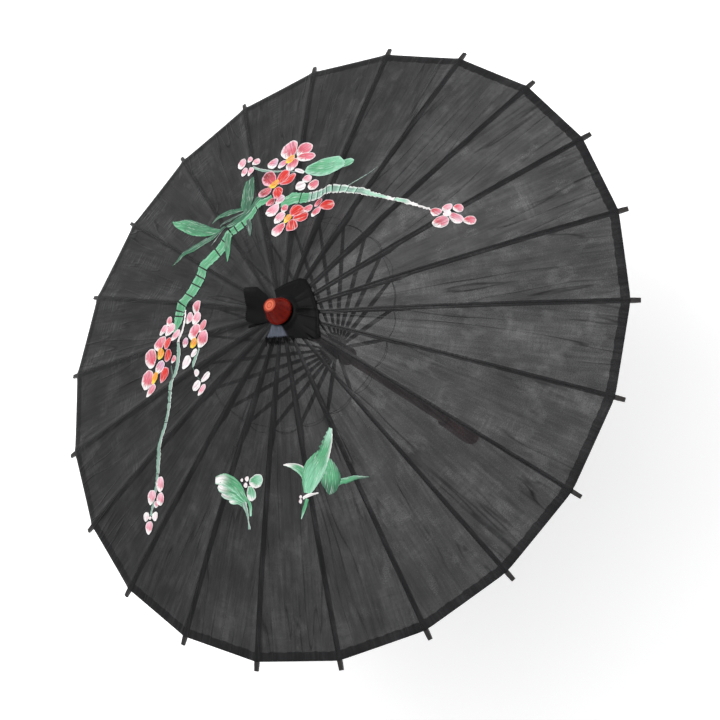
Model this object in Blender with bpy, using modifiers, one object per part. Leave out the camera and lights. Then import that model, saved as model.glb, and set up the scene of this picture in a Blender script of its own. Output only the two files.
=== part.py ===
"""Painted folding parasol: a cloth canopy on 22 split-bamboo ribs, held up by 22 stretchers.

Each rib turns in a slotted wooden head under the finial. Each stretcher turns in a slit in its rib and
ends in a slotted runner that slides on the shaft. A sprung leaf in the shaft holds the runner up.
The origin is the centre of the handle's flat lower end, +Z runs up the shaft, and rib 1 lies along +X.
"""

import math

import bmesh
import bpy
from mathutils import Matrix, Vector

MM = 0.001

# ribs, seen along one rib: s runs from its hinge to its tip, n is square to that, upwards
RIBS = 22
PITCH = 2 * math.pi / RIBS
TIP_RADIUS = 420 * MM
TIP_HEIGHT = 421 * MM
HINGE_RADIUS = 14.5 * MM
HEAD_HINGE_HEIGHT = 524 * MM
RIB_BOW = 5.0 * MM
RIB_TOP_AT_HINGE = 2.5 * MM
RIB_TOP_AT_TIP = 1.8 * MM

# stretchers, from their pivots in the ribs to the hinge circle of the runner
PIVOT_RADIUS = 136.5 * MM
PIVOT_HEIGHT = 494.1 * MM
RUNNER_HINGE_HEIGHT = 408 * MM

# slots, threads and clearances
GAP = 0.3 * MM
HUB_RADIUS = 17.5 * MM
CORE_RADIUS = 10.8 * MM
SLOT_FLOOR_RADIUS = 11.0 * MM
SLOT_WIDTH = 2.8 * MM
RIB_SLIT_WIDTH = 2.6 * MM
THREAD_RADIUS = 0.5 * MM
THREAD_HOLE_RADIUS = 1.0 * MM
GROOVE_HALF_HEIGHT = 0.9 * MM
GROOVE_FLOOR_RADIUS = 13.6 * MM

SHAFT_RADIUS = 7.0 * MM
SHAFT_BOTTOM = 35.3 * MM
SHAFT_TOP = 545.5 * MM
GLUED_BORE_RADIUS = 7.3 * MM
SLIDING_BORE_RADIUS = 7.5 * MM
PIN_HEIGHT = 510.5 * MM
PIN_RADIUS = 0.9 * MM
PIN_HOLE_RADIUS = 1.2 * MM
PIN_HALF_LENGTH = 10.3 * MM

CLOTH = 0.6 * MM
CLOTH_LIFT = 0.5 * MM
CLOTH_SAG = 3.5 * MM
HEM_RADIUS = 409.5 * MM
CLOTH_INNER_RADIUS = 18.6 * MM

# the neck cloth's edge as (degrees round the shaft, millimetres from it): two flaps with gaps between
CAP_OUTLINE = [
    (0, 50),
    (18, 51),
    (32, 40),
    (46, 38),
    (60, 74),
    (90, 66),
    (106, 60),
    (118, 34),
    (140, 34),
    (180, 37),
    (222, 46),
    (242, 60),
    (275, 50),
    (320, 45),
]

# the catch leaf, in the shaft's -Y side
CATCH_HINGE = (0, -2.2 * MM, 329 * MM)
CATCH_HALF_WIDTH = 1.0 * MM
MORTISE_HALF_WIDTH = 1.4 * MM

RIB_RUN = TIP_RADIUS - HINGE_RADIUS
RIB_DROP = HEAD_HINGE_HEIGHT - TIP_HEIGHT
RIB_LENGTH = math.hypot(RIB_RUN, RIB_DROP)
RIB_SLOPE = math.atan2(RIB_DROP, RIB_RUN)
STRETCHER_RUN = PIVOT_RADIUS - HINGE_RADIUS
STRETCHER_DROP = PIVOT_HEIGHT - RUNNER_HINGE_HEIGHT
STRETCHER_LENGTH = math.hypot(STRETCHER_RUN, STRETCHER_DROP)
STRETCHER_SLOPE = math.atan2(STRETCHER_DROP, STRETCHER_RUN)


def rib_angle(number):
    """Angle of a rib round the shaft. The ribs are numbered clockwise, seen from above."""
    return -(number - 1) * PITCH


def in_rib_frame(radius, height):
    """(s, n) of a point given by its distance from the shaft and its height."""
    run, drop = radius - HINGE_RADIUS, HEAD_HINGE_HEIGHT - height
    s = run * math.cos(RIB_SLOPE) + drop * math.sin(RIB_SLOPE)
    n = run * math.sin(RIB_SLOPE) - drop * math.cos(RIB_SLOPE)
    return s, n


def from_rib_frame(s, n):
    """(radius, height) of a point given by (s, n)."""
    radius = HINGE_RADIUS + s * math.cos(RIB_SLOPE) + n * math.sin(RIB_SLOPE)
    height = HEAD_HINGE_HEIGHT - s * math.sin(RIB_SLOPE) + n * math.cos(RIB_SLOPE)
    return radius, height


def rib_top(s):
    """n of the rib's upper face, which the cloth lies on. The rib is bent a little by the cloth's pull."""
    x = min(max(s / RIB_LENGTH, 0), 1)
    return RIB_TOP_AT_HINGE + (RIB_TOP_AT_TIP - RIB_TOP_AT_HINGE) * x + RIB_BOW * 4 * x * (1 - x)


def s_at_radius(radius):
    """s of the point of the rib's upper face at this distance from the shaft."""
    s = radius - HINGE_RADIUS
    for _ in range(6):
        s += (radius - from_rib_frame(s, rib_top(s))[0]) / math.cos(RIB_SLOPE)
    return s


# scene, collections and materials


def clear_scene():
    for ob in list(bpy.data.objects):
        bpy.data.objects.remove(ob, do_unlink=True)
    for collection in list(bpy.data.collections):
        bpy.data.collections.remove(collection)


def new_collection(name):
    collection = bpy.data.collections.new(name)
    bpy.context.scene.collection.children.link(collection)
    return collection


def new_material(name, colour, roughness, metallic=0.0):
    material = bpy.data.materials.new(name)
    material.use_nodes = True
    shader = material.node_tree.nodes["Principled BSDF"]
    shader.inputs["Base Color"].default_value = (*colour, 1)
    shader.inputs["Roughness"].default_value = roughness
    shader.inputs["Metallic"].default_value = metallic
    return material


def add_object(name, data, collection, material=None):
    ob = bpy.data.objects.new(name, data)
    collection.objects.link(ob)
    if material:
        ob.data.materials.clear()
        ob.data.materials.append(material)
    return ob


def add_cutter(name, mesh):
    ob = add_object(name, mesh, cutters)
    ob.hide_render = True
    ob.display_type = "WIRE"
    return ob


def cut(ob, cutter):
    boolean = ob.modifiers.new("cut", "BOOLEAN")
    boolean.operation = "DIFFERENCE"
    boolean.solver = "EXACT"
    boolean.object = cutter


def settle(ob):
    """Puts the result of an object's modifiers in its mesh."""
    depsgraph = bpy.context.evaluated_depsgraph_get()
    mesh = bpy.data.meshes.new_from_object(ob.evaluated_get(depsgraph))
    ob.modifiers.clear()
    ob.data = mesh
    return mesh


def smooth(mesh, angle=math.radians(35)):
    mesh.shade_smooth()
    mesh.set_sharp_from_angle(angle=angle)


def box_mesh(name, boxes):
    """One mesh of separate boxes, each given as (low corner, high corner, turn about Z)."""
    bm = bmesh.new()
    for low, high, turn in boxes:
        low, high = Vector(low), Vector(high)
        matrix = (
            Matrix.Rotation(turn, 4, "Z")
            @ Matrix.Translation((low + high) / 2)
            @ Matrix.Diagonal((*(high - low), 1))
        )
        bmesh.ops.create_cube(bm, size=1, matrix=matrix)
    mesh = bpy.data.meshes.new(name)
    bm.to_mesh(mesh)
    bm.free()
    return mesh


def rod_mesh(name, rods, sides=6):
    """One mesh of separate round rods, each given as (centre, direction, radius, length)."""
    bm = bmesh.new()
    for centre, direction, radius, length in rods:
        turn = Vector(direction).to_track_quat("Z", "Y").to_matrix().to_4x4()
        matrix = Matrix.Translation(centre) @ turn
        bmesh.ops.create_cone(
            bm,
            cap_ends=True,
            segments=sides,
            radius1=radius,
            radius2=radius,
            depth=length,
            matrix=matrix,
        )
    mesh = bpy.data.meshes.new(name)
    bm.to_mesh(mesh)
    bm.free()
    return mesh


def turned(name, profile, collection, material, steps=32, closed=False):
    """A turned piece from (radius, height) points in millimetres that run down its outer side."""
    mesh = bpy.data.meshes.new(name)
    points = [(r * MM, 0, z * MM) for r, z in profile]
    edges = [(i, i + 1) for i in range(len(points) - 1)]
    if closed:
        edges.append((len(points) - 1, 0))
    mesh.from_pydata(points, edges, [])
    ob = add_object(name, mesh, collection, material)
    screw = ob.modifiers.new("turn", "SCREW")
    screw.steps = steps
    screw.render_steps = steps
    screw.use_merge_vertices = True
    screw.merge_threshold = 0.00001
    return ob


def loft(name, stations):
    """A bar of rectangular sections along X, each given as (x, top, bottom, half width)."""
    bm = bmesh.new()
    rings = []
    for x, top, bottom, half in stations:
        corners = [(x, -half, bottom), (x, half, bottom), (x, half, top), (x, -half, top)]
        rings.append([bm.verts.new(c) for c in corners])
    for one, two in zip(rings, rings[1:]):
        for i in range(4):
            j = (i + 1) % 4
            bm.faces.new((one[i], one[j], two[j], two[i]))
    bm.faces.new(rings[0])
    bm.faces.new(rings[-1])
    bmesh.ops.recalc_face_normals(bm, faces=bm.faces)
    mesh = bpy.data.meshes.new(name)
    bm.to_mesh(mesh)
    bm.free()
    return mesh


def thread_ring(name, radius, height, collection, material, thickness=THREAD_RADIUS):
    """A thread tied in a ring. It runs straight through each rib and bends halfway between two ribs."""
    curve = bpy.data.curves.new(name, "CURVE")
    curve.dimensions = "3D"
    curve.bevel_depth = thickness
    curve.bevel_resolution = 1
    spline = curve.splines.new("POLY")
    spline.points.add(RIBS - 1)
    corner = radius / math.cos(PITCH / 2)
    for i, point in enumerate(spline.points):
        angle = (i + 0.5) * PITCH
        point.co = (corner * math.cos(angle), corner * math.sin(angle), height, 1)
    spline.use_cyclic_u = True
    return add_object(name, curve, collection, material)


# ribs and stretchers


def rib_mesh():
    """A rib in its own frame: X along s, Z along n, the hinge at the origin."""
    pivot_s, pivot_n = in_rib_frame(PIVOT_RADIUS, PIVOT_HEIGHT)
    nose = [(-3.0, 0.9, -0.9), (-2.2, 2.0, -2.0), (-0.9, 2.6, -2.6)]
    stations = [(s * MM, top * MM, low * MM, 1.1 * MM) for s, top, low in nose]
    body = [
        (12, -2.4, 1.1),
        (64, -1.1, 1.75),
        (116, -1.7, 2.2),
        (136, -1.7, 2.25),
        (152, 2.3, 2.3),
        (210, 2.4, 2.4),
        (300, 1.7, 2.5),
        (385, -0.6, 2.6),
        (410, -1.7, 2.75),
    ]
    for s, low, half in body:
        stations.append((s * MM, rib_top(s * MM), low * MM, half * MM))
    stations.append((RIB_LENGTH, RIB_TOP_AT_TIP - 0.3 * MM, -1.5 * MM, 2.5 * MM))
    ob = add_object("rib_blank", loft("rib_blank", stations), cutters)
    slit = box_mesh(
        "rib_slit",
        [
            (
                (116 * MM, -RIB_SLIT_WIDTH / 2, -6 * MM),
                (151 * MM, RIB_SLIT_WIDTH / 2, pivot_n + 2.8 * MM),
                0,
            )
        ],
    )
    holes = rod_mesh(
        "rib_holes",
        [
            ((0, 0, 0), (0, 1, 0), THREAD_HOLE_RADIUS, 8 * MM),
            ((pivot_s, 0, pivot_n), (0, 1, 0), THREAD_HOLE_RADIUS, 8 * MM),
        ],
    )
    cut(ob, add_cutter("rib_slit", slit))
    cut(ob, add_cutter("rib_holes", holes))
    mesh = settle(ob)
    mesh.name = "rib"
    bpy.data.objects.remove(ob)
    return mesh


def stretcher_mesh():
    """A stretcher in its own frame: X from its pivot towards the runner, Z towards its upper side.

    Its inner end is a tongue that passes under the runner's thread, so that the thread can lift off it.
    """
    end = STRETCHER_LENGTH / MM
    stations = [
        (-2.2, 0.7, -0.7, 1.0),
        (-1.6, 1.6, -1.6, 1.0),
        (-0.5, 2.1, -2.1, 1.0),
        (26, 2.1, -2.1, 1.0),
        (35, 2.2, -2.2, 1.6),
        (117, 2.2, -2.2, 1.6),
        (126, 2.2, -2.2, 1.0),
        (end - 14, 2.0, -2.2, 1.0),
        (end, -0.85, -2.2, 1.0),
        (end + 1.6, -1.0, -2.0, 1.0),
    ]
    scaled = [tuple(v * MM for v in station) for station in stations]
    ob = add_object("stretcher_blank", loft("stretcher_blank", scaled), cutters)
    hole = rod_mesh("stretcher_hole", [((0, 0, 0), (0, 1, 0), THREAD_HOLE_RADIUS, 8 * MM)])
    cut(ob, add_cutter("stretcher_hole", hole))
    mesh = settle(ob)
    mesh.name = "stretcher"
    bpy.data.objects.remove(ob)
    return mesh


def add_ribs_and_stretchers():
    rib, stretcher = rib_mesh(), stretcher_mesh()
    pivot_s, pivot_n = in_rib_frame(PIVOT_RADIUS, PIVOT_HEIGHT)
    for number in range(1, RIBS + 1):
        angle = rib_angle(number)
        one = add_object(f"rib_{number:02d}", rib, parts, black_bamboo)
        one.location = (
            HINGE_RADIUS * math.cos(angle),
            HINGE_RADIUS * math.sin(angle),
            HEAD_HINGE_HEIGHT,
        )
        one.rotation_euler = (0, RIB_SLOPE, angle)
        prop = add_object(f"stretcher_{number:02d}", stretcher, parts, black_bamboo)
        prop.parent = one
        prop.location = (pivot_s, 0, pivot_n)
        prop.rotation_euler = (0, STRETCHER_SLOPE + RIB_SLOPE, math.pi)


# head, runner and threads


def slots(name, bottom, top):
    boxes = [
        (
            (SLOT_FLOOR_RADIUS, -SLOT_WIDTH / 2, bottom),
            (HUB_RADIUS + 5 * MM, SLOT_WIDTH / 2, top),
            rib_angle(number),
        )
        for number in range(1, RIBS + 1)
    ]
    return add_cutter(name, box_mesh(name, boxes))


def groove(height):
    """The part of a hub's profile that holds its thread, in millimetres."""
    floor, half, hub = GROOVE_FLOOR_RADIUS / MM, GROOVE_HALF_HEIGHT / MM, HUB_RADIUS / MM
    return [
        (hub, height + half),
        (floor, height + half),
        (floor, height - half),
        (hub, height - half),
    ]


def pin_hole(name):
    rod = ((0, 0, PIN_HEIGHT), (1, 0, 0), PIN_HOLE_RADIUS, 60 * MM)
    return add_cutter(name, rod_mesh(name, [rod]))


def add_head():
    hub, core, bore = HUB_RADIUS / MM, CORE_RADIUS / MM, GLUED_BORE_RADIUS / MM
    profile = [
        (bore, 530.0),
        (core, 530.0),
        (core, 528.5),
        (hub - 0.6, 528.5),
        (hub, 527.9),
        *groove(HEAD_HINGE_HEIGHT / MM),
        (hub, 516.4),
        (hub - 1.2, 515.2),
        (core, 515.2),
        (core, 507.2),
        (core - 1.2, 506.0),
        (bore, 506.0),
    ]
    head = turned("head", profile, parts, brown_wood, steps=22, closed=True)
    cut(head, slots("head_slots", 512 * MM, 527.5 * MM))
    cut(head, pin_hole("head_pin_hole"))
    smooth(settle(head))
    thread_ring("head_thread", HINGE_RADIUS, HEAD_HINGE_HEIGHT, parts, black_thread)
    pin = rod_mesh(
        "head_pin", [((0, 0, PIN_HEIGHT), (1, 0, 0), PIN_RADIUS, 2 * PIN_HALF_LENGTH)], sides=10
    )
    add_object("head_pin", pin, parts, steel)


def add_runner():
    hub, core, bore = HUB_RADIUS / MM, CORE_RADIUS / MM, SLIDING_BORE_RADIUS / MM
    profile = [
        (bore, 415.8),
        (core - 0.6, 415.8),
        (core, 415.2),
        (core, 414.6),
        (hub - 1.0, 414.6),
        (hub, 413.6),
        *groove(RUNNER_HINGE_HEIGHT / MM),
        (hub, 402.2),
        (hub - 1.2, 401.0),
        (core, 401.0),
        (10.2, 394.0),
        (10.2, 374.5),
        (12.0, 371.5),
        (12.6, 369.0),
        (12.0, 366.6),
        (11.2, 366.0),
        (bore, 366.0),
    ]
    runner = turned("runner", profile, parts, brown_wood, steps=22, closed=True)
    cut(runner, slots("runner_slots", 398 * MM, 420 * MM))
    smooth(settle(runner))
    thread_ring("runner_thread", HINGE_RADIUS, RUNNER_HINGE_HEIGHT, parts, black_thread)


# shaft, handle, finial and catch


def add_shaft():
    bm = bmesh.new()
    matrix = Matrix.Translation((0, 0, (SHAFT_BOTTOM + SHAFT_TOP) / 2))
    bmesh.ops.create_cone(
        bm,
        cap_ends=True,
        segments=32,
        radius1=SHAFT_RADIUS,
        radius2=SHAFT_RADIUS,
        depth=SHAFT_TOP - SHAFT_BOTTOM,
        matrix=matrix,
    )
    mesh = bpy.data.meshes.new("shaft")
    bm.to_mesh(mesh)
    bm.free()
    shaft = add_object("shaft", mesh, parts, brown_wood)
    mortise = box_mesh(
        "mortise",
        [((-MORTISE_HALF_WIDTH, -9 * MM, 327.4 * MM), (MORTISE_HALF_WIDTH, 0.8 * MM, 366.6 * MM), 0)],
    )
    cut(shaft, add_cutter("mortise", mortise))
    cut(shaft, pin_hole("shaft_pin_hole"))
    smooth(settle(shaft))


def add_handle():
    bore = GLUED_BORE_RADIUS / MM
    profile = [
        (0, 35.0),
        (bore, 35.0),
        (bore, 95.5),
        (9.4, 95.5),
        (10.4, 94.6),
        (10.9, 92.6),
        (10.3, 89.5),
        (10.9, 78.0),
        (11.9, 55.0),
        (12.8, 28.0),
        (12.9, 14.0),
        (12.2, 5.0),
        (11.0, 1.2),
        (9.6, 0),
        (0, 0),
    ]
    smooth(settle(turned("handle", profile, parts, red_lacquer)))


def add_finial():
    bore = GLUED_BORE_RADIUS / MM
    profile = [
        (0, 555.0),
        (8.6, 555.0),
        (9.2, 554.3),
        (11.6, 548.5),
        (14.2, 542.6),
        (16.4, 538.0),
        (17.4, 535.4),
        (17.6, 533.8),
        (17.0, 532.0),
        (15.2, 530.7),
        (13.0, 530.3),
        (bore, 530.3),
        (bore, 545.8),
        (0, 545.8),
    ]
    smooth(settle(turned("finial", profile, parts, red_lacquer)))


def add_catch():
    """A flat leaf whose top shoulder stands out of the shaft under the runner."""
    outline = [(-1.2, 328.2), (-3.2, 328.2), (-9.2, 363.6), (-9.2, 365.5), (-5.2, 365.5)]
    hinge_y, hinge_z = CATCH_HINGE[1] / MM, CATCH_HINGE[2] / MM
    curve = bpy.data.curves.new("catch", "CURVE")
    curve.dimensions = "2D"
    curve.fill_mode = "BOTH"
    curve.extrude = CATCH_HALF_WIDTH
    spline = curve.splines.new("POLY")
    spline.points.add(len(outline) - 1)
    for point, (y, z) in zip(spline.points, outline):
        point.co = ((y - hinge_y) * MM, (z - hinge_z) * MM, 0, 1)
    spline.use_cyclic_u = True
    catch = add_object("catch", curve, parts, steel)
    catch.location = CATCH_HINGE
    catch.rotation_euler = (math.pi / 2, 0, math.pi / 2)


# cloth


def canopy_point(number, share, s, lift):
    """A point of the cloth's underside on the gore that follows a rib, share of the way to the next rib.

    The cloth lies flat across each rib and sags a little between two ribs.
    """
    radius, height = from_rib_frame(s, rib_top(s) + lift)
    here, there = rib_angle(number), rib_angle(number + 1)
    one = Vector((radius * math.cos(here), radius * math.sin(here), height))
    two = Vector((radius * math.cos(there), radius * math.sin(there), height))
    edge = rib_share(radius)
    inside = min(max((share - edge) / (1 - 2 * edge), 0), 1)
    x = s / RIB_LENGTH
    sag = CLOTH_SAG * 4 * x * (1 - x) * 4 * inside * (1 - inside)
    return one.lerp(two, share) - Vector((0, 0, sag))


def rib_share(radius):
    """The share of a gore's width that lies on the half of one rib."""
    return min(3.2 * MM / (2 * radius * math.sin(PITCH / 2)), 0.26)


def add_canopy():
    first, last = s_at_radius(CLOTH_INNER_RADIUS), s_at_radius(HEM_RADIUS)
    rows = [first, 64 * MM, 136 * MM, 210 * MM, 300 * MM, last]
    bm = bmesh.new()
    grid = []
    for s in rows:
        radius = from_rib_frame(s, rib_top(s))[0]
        edge = rib_share(radius)
        third = (1 - 2 * edge) / 3
        shares = (edge, edge + third, 1 - edge - third, 1 - edge)
        grid.append(
            [
                bm.verts.new(canopy_point(number, share, s, CLOTH_LIFT))
                for number in range(1, RIBS + 1)
                for share in shares
            ]
        )
    for one, two in zip(grid, grid[1:]):
        for i in range(len(one)):
            j = (i + 1) % len(one)
            bm.faces.new((one[i], one[j], two[j], two[i]))
    bmesh.ops.recalc_face_normals(bm, faces=bm.faces)
    if sum(face.normal.z for face in bm.faces) < 0:
        bmesh.ops.reverse_faces(bm, faces=bm.faces)
    mesh = bpy.data.meshes.new("canopy")
    bm.to_mesh(mesh)
    bm.free()
    canopy = add_object("canopy", mesh, parts, black_cloth)
    solidify = canopy.modifiers.new("cloth", "SOLIDIFY")
    solidify.thickness = CLOTH
    solidify.offset = 1


def cap_edge(angle):
    """How far the neck cloth reaches from the shaft, as an angle in degrees goes round it."""
    angle %= 360
    ends = CAP_OUTLINE + [(360, CAP_OUTLINE[0][1])]
    for (low, one), (high, two) in zip(ends, ends[1:]):
        if low <= angle <= high:
            return (one + (two - one) * (angle - low) / (high - low)) * MM
    return CAP_OUTLINE[0][1] * MM


def add_cap_cloth():
    """A strip of cloth that lies on the head, under the finial, and spreads over the canopy's centre."""
    columns = 40
    bm = bmesh.new()
    grid = []
    for share in (0, 0.35, 0.55, 0.78, 1):
        ring = []
        for i in range(columns):
            angle = 2 * math.pi * i / columns
            if share <= 0.35:
                radius = (11.4 + (17.9 - 11.4) * share / 0.35) * MM
                height = 528.8 * MM
            else:
                x = (share - 0.35) / 0.65
                radius = 17.9 * MM + x * (cap_edge(math.degrees(angle)) - 17.9 * MM)
                s = s_at_radius(radius)
                height = from_rib_frame(s, rib_top(s) + CLOTH_LIFT + CLOTH + 0.4 * MM)[1]
                height += (0.6 + 2.4 * x * x) * MM
            ring.append(bm.verts.new((radius * math.cos(angle), radius * math.sin(angle), height)))
        grid.append(ring)
    for one, two in zip(grid, grid[1:]):
        for i in range(columns):
            j = (i + 1) % columns
            bm.faces.new((one[i], one[j], two[j], two[i]))
    bmesh.ops.recalc_face_normals(bm, faces=bm.faces)
    if sum(face.normal.z for face in bm.faces) < 0:
        bmesh.ops.reverse_faces(bm, faces=bm.faces)
    mesh = bpy.data.meshes.new("cap_cloth")
    bm.to_mesh(mesh)
    bm.free()
    cloth = add_object("cap_cloth", mesh, parts, black_satin)
    solidify = cloth.modifiers.new("cloth", "SOLIDIFY")
    solidify.thickness = 0.7 * MM
    solidify.offset = 1


clear_scene()
parts = new_collection("parasol")
cutters = new_collection("cutters")

black_cloth = new_material("black_cloth", (0.05, 0.05, 0.055), 0.6)
black_satin = new_material("black_satin", (0.03, 0.03, 0.035), 0.4)
black_bamboo = new_material("black_bamboo", (0.02, 0.02, 0.02), 0.45)
black_thread = new_material("black_thread", (0.03, 0.03, 0.03), 0.8)
brown_wood = new_material("brown_wood", (0.16, 0.07, 0.03), 0.5)
red_lacquer = new_material("red_lacquer", (0.32, 0.06, 0.03), 0.2)
steel = new_material("steel", (0.55, 0.55, 0.56), 0.35, 1.0)

add_ribs_and_stretchers()
add_head()
add_runner()
add_shaft()
add_handle()
add_finial()
add_catch()
add_canopy()
thread_ring("pivot_thread", PIVOT_RADIUS, PIVOT_HEIGHT, parts, black_thread, 0.4 * MM)
add_cap_cloth()
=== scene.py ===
"""Looks of a painted cloth parasol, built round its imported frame.

The canopy is 22 cloth panels, one centred on each rib, so that each folds with its rib. The painting is
thin brush strokes laid on the cloth. The wooden pieces keep the frame's shapes, with finer edges.
The origin is the centre of the handle's lower end, +Z runs up the shaft, and rib 1 lies along +X.
"""

from math import atan2, cos, dist, hypot, pi, radians, sin

import bmesh
import bpy
import numpy as np
from mathutils import Matrix, Vector


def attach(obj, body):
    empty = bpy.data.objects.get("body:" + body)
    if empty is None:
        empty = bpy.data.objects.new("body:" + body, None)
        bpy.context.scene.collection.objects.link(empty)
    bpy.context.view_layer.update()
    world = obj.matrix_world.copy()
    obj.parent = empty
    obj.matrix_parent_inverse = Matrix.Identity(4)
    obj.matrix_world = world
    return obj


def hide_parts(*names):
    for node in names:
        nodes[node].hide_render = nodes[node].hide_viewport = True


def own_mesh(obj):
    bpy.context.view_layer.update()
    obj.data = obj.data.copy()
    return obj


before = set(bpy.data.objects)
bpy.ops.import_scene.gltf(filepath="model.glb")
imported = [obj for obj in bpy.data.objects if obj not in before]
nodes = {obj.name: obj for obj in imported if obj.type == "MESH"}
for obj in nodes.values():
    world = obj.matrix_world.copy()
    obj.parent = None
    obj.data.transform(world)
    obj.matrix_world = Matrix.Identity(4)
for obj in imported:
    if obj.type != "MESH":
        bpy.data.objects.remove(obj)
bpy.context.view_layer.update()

MM = 0.001

# ribs, as in the frame: s runs along a rib from its hinge, n is square to that, upwards
RIBS = 22
PITCH = 2 * pi / RIBS
HINGE_RADIUS = 14.5 * MM
HINGE_HEIGHT = 524 * MM
RIB_RUN = 405.5 * MM
RIB_DROP = 103 * MM
RIB_LENGTH = hypot(RIB_RUN, RIB_DROP)
RIB_SLOPE = atan2(RIB_DROP, RIB_RUN)
RIB_BOW = 5.0 * MM
RIB_TOP_AT_HINGE = 2.5 * MM
RIB_TOP_AT_TIP = 1.8 * MM
PIVOT_RADIUS = 136.5 * MM
PIVOT_HEIGHT = 494.1 * MM
RUNNER_HINGE_HEIGHT = 408 * MM

# cloth
CLOTH_LIFT = 0.8 * MM
CLOTH_SAG = 3.5 * MM
RIB_FLAT = 3.2 * MM
RIB_SHOULDER = 0.7 * MM
CLOTH_INNER_RADIUS = 18.6 * MM
HEM_RADIUS = 409.5 * MM
HEM_WIDTH = 11 * MM
# share of light that passes the cloth, on its densest and on its sheerest side. The share rises towards one
# side round the shaft, and the base colour is lightened with it: painted sheen on that side
SHEER_LOW = 0.011
SHEER_HIGH = 0.066
# direction round the shaft in which the painted sheen is strongest
PAINTED_SHEEN_ANGLE = radians(-95)
SHEER_POWER = 2.5
# random factors, one for each gore, on that share and so on the painted sheen
GORE_SHADES = np.random.default_rng(11).uniform(0.92, 1.08, RIBS)
PANEL_ROWS = 84
PANEL_COLUMNS = 30

# hub
COLLAR_RADIUS = 17 * MM
COLLAR_HEIGHT = 529.5 * MM
THREAD_THICKNESS = 0.35 * MM
BAMBOO_EDGE = 0.25 * MM
HUB_EDGE = 0.3 * MM

# turned outlines, as (radius, height) in millimetres
FINIAL_TOP = 555
FINIAL = [
    (0, 530.3), (13, 530.3), (15.2, 530.7), (17.0, 532), (17.6, 533.8), (17.4, 535.4), (16.4, 538),
    (14.2, 542.6), (11.6, 548.5), (9.2, 554.3), (8.6, FINIAL_TOP), (0, FINIAL_TOP),
]
HANDLE = [
    (0, 0), (9.6, 0), (11, 1.2), (12.2, 5), (12.9, 14), (12.8, 28), (11.9, 55), (10.9, 78),
    (10.3, 89.5), (10.9, 92.6), (10.4, 94.6), (9.4, 95.5), (7.05, 95.5),
]

# higher than the whole parasol, for a piece that is lacquered all over
NO_BARE_END = 600 * MM

# the painting is laid out upright in its own axes: a to the right, b up, from the shaft
PAINT_TURN = radians(-77)
PAINT_LIFT = 0.45 * MM
PAINT_LAYER = 0.05 * MM
STROKE_COLUMNS = 9
DAB_COLUMNS = 44
# direction in which the petals' white rims are widest
WHITE_SIDE = (-0.55, -0.83)


def rib_angle(number):
    """Angle of a rib round the shaft. The ribs are numbered clockwise, seen from above."""
    return -(number - 1) * PITCH


def rib_axes(number):
    """Directions out along a rib in plan, and across it."""
    angle = rib_angle(number)
    return np.array([cos(angle), sin(angle), 0]), np.array([-sin(angle), cos(angle), 0])


def unit(vectors):
    return vectors / np.linalg.norm(vectors, axis=-1, keepdims=True)


def smooth_step(low, high, x):
    x = np.clip((x - low) / (high - low), 0, 1)
    return x * x * (3 - 2 * x)


def from_rib_frame(s, n):
    """(radius, height) of a point given by (s, n)."""
    radius = HINGE_RADIUS + s * cos(RIB_SLOPE) + n * sin(RIB_SLOPE)
    height = HINGE_HEIGHT - s * sin(RIB_SLOPE) + n * cos(RIB_SLOPE)
    return radius, height


def rib_top(s):
    """n of the rib's upper face."""
    x = np.clip(s / RIB_LENGTH, 0, 1)
    return RIB_TOP_AT_HINGE + (RIB_TOP_AT_TIP - RIB_TOP_AT_HINGE) * x + RIB_BOW * 4 * x * (1 - x)


def s_at_radius(radius, lift=0.0):
    """s of the point this far above the ribs' upper faces, at this distance from the shaft."""
    s = radius - HINGE_RADIUS
    for _ in range(6):
        s = s + (radius - from_rib_frame(s, rib_top(s) + lift)[0]) / cos(RIB_SLOPE)
    return s


def between_ribs(gap, share, radius, height):
    """Points this share of the way from rib GAP to the next one, on straight lines between the two."""
    one, two = rib_angle(gap), rib_angle(gap + 1)
    x = radius * ((1 - share) * cos(one) + share * cos(two))
    y = radius * ((1 - share) * sin(one) + share * sin(two))
    return np.stack([x, y, height], axis=-1)


# the cloth's surface

# folds of the cloth in each gap between two ribs: how many, then ranges of their place across the gap, start
# along the rib, length, width in mm, and the most that they drift across and rise, and whether they are sharp
BILLOWS = (3, (0.25, 0.75), (0.05, 0.45), (0.4, 0.6), (7, 15), 0.2, 1.5, False)
SHARP_CREASES = (11, (0.12, 0.88), (0.0, 0.6), (0.2, 0.5), (1.6, 3.6), 0.35, 0.5, True)


def make_creases():
    """For each gap, rows of (place across it, drift, start, end, width, height, sharpness)."""
    creases = {}
    for gap in range(1, RIBS + 1):
        rng = np.random.default_rng(40 + gap)
        creases[gap] = []
        for count, places, starts, lengths, widths, drift, height, sharp in (BILLOWS, SHARP_CREASES):
            for _ in range(count):
                start = rng.uniform(*starts)
                place, lean = rng.uniform(*places), rng.uniform(-drift, drift)
                end = start + rng.uniform(*lengths)
                width, rise = rng.uniform(*widths) * MM, rng.uniform(-height, height) * MM
                creases[gap].append((place, lean, start, end, width, rise, sharp))
    return creases


CREASES = make_creases()


def relief(gap, share, s, span):
    """Height of the cloth's sag, creases and billows over the straight line between two ribs."""
    x = s / RIB_LENGTH
    edge = np.minimum(RIB_FLAT / span, 0.26)
    inside = np.clip((share - edge) / (1 - 2 * edge), 0, 1)
    away = np.minimum(share, 1 - share) * span
    total = -CLOTH_SAG * 4 * x * (1 - x) * 4 * inside * (1 - inside)
    total = total - RIB_SHOULDER * smooth_step(RIB_FLAT, 3 * RIB_FLAT, away)
    free = smooth_step(RIB_FLAT, 2.5 * RIB_FLAT, away)
    for place, drift, start, end, width, height, sharp in CREASES[gap]:
        across = (share - place - drift * (x - 0.5)) * span / width
        reach = smooth_step(start, start + 0.15, x) * (1 - smooth_step(end - 0.15, end, x))
        shape = np.exp(-np.abs(across) * 1.4) if sharp else np.exp(-across * across)
        total = total + height * shape * reach * free
    return total


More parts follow.
